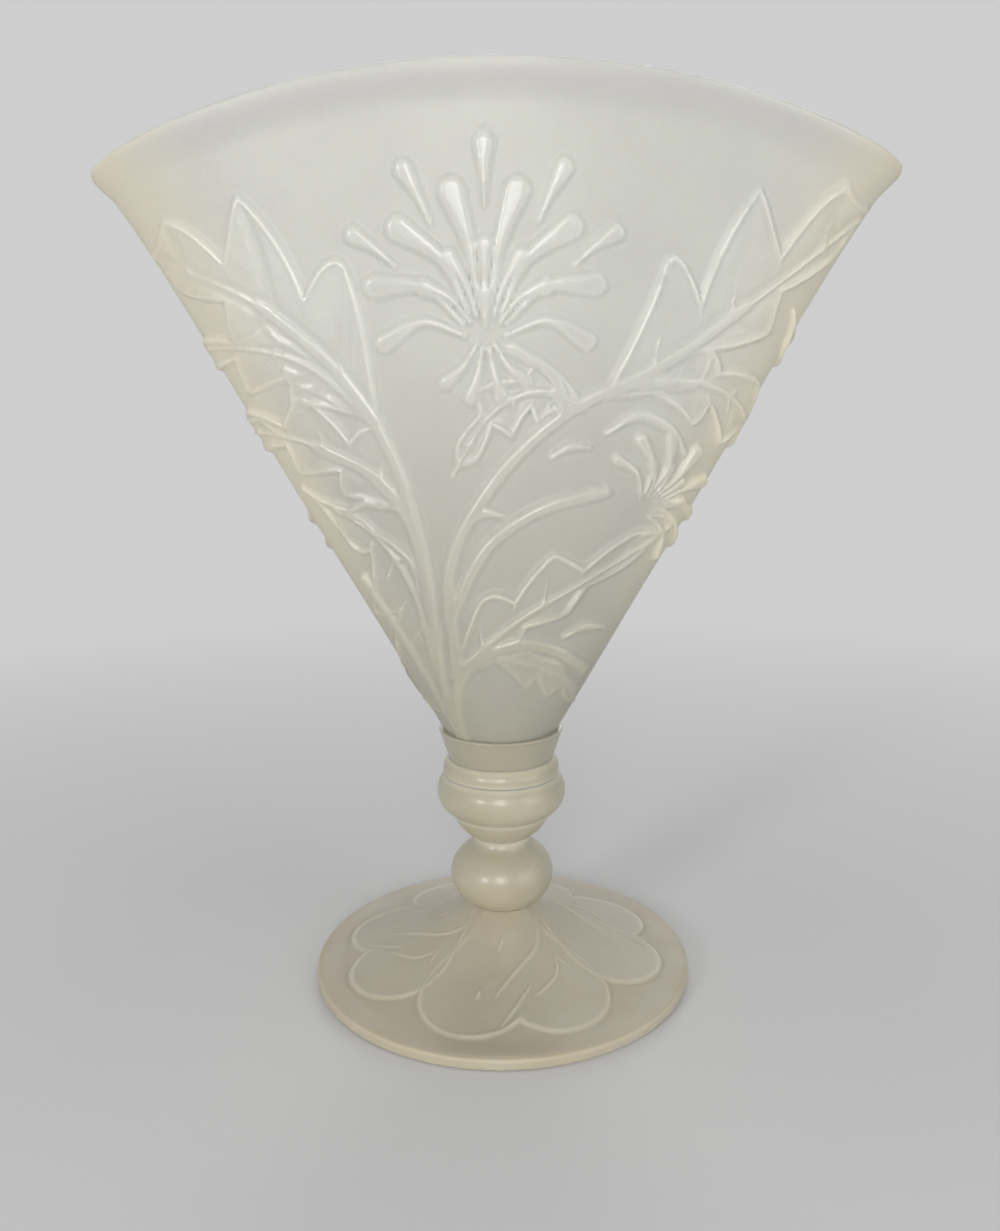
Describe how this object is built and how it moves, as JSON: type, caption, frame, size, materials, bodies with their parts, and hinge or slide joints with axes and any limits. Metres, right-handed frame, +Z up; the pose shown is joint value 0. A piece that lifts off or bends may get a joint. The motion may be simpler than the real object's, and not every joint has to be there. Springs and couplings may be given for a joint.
{
  "type": "footed fan vase",
  "caption": "Footed fan vase of satin milk glass: a fan-shaped bowl with an arched mouth, on a knopped stem and a round spread foot.",
  "frame": {"origin": "centre of the ring that the foot stands on, in the plane of the table", "axes": "+Z up the stem, X along the width of the fan, and the broad faces look along -Y and +Y"},
  "size_m": [0.1874, 0.0976, 0.2163],
  "materials": {
    "bowl_glass": "acid-satin milk glass",
    "stem_glass": "acid-satin milk glass, solid"
  },
  "bodies": {
    "root": {"foot": "stem_glass", "ball_knop": "stem_glass", "cup_knop": "stem_glass", "broad_knop": "stem_glass", "collar_bead": "stem_glass", "fan_bowl": "bowl_glass"}
  },
  "joints": []
}
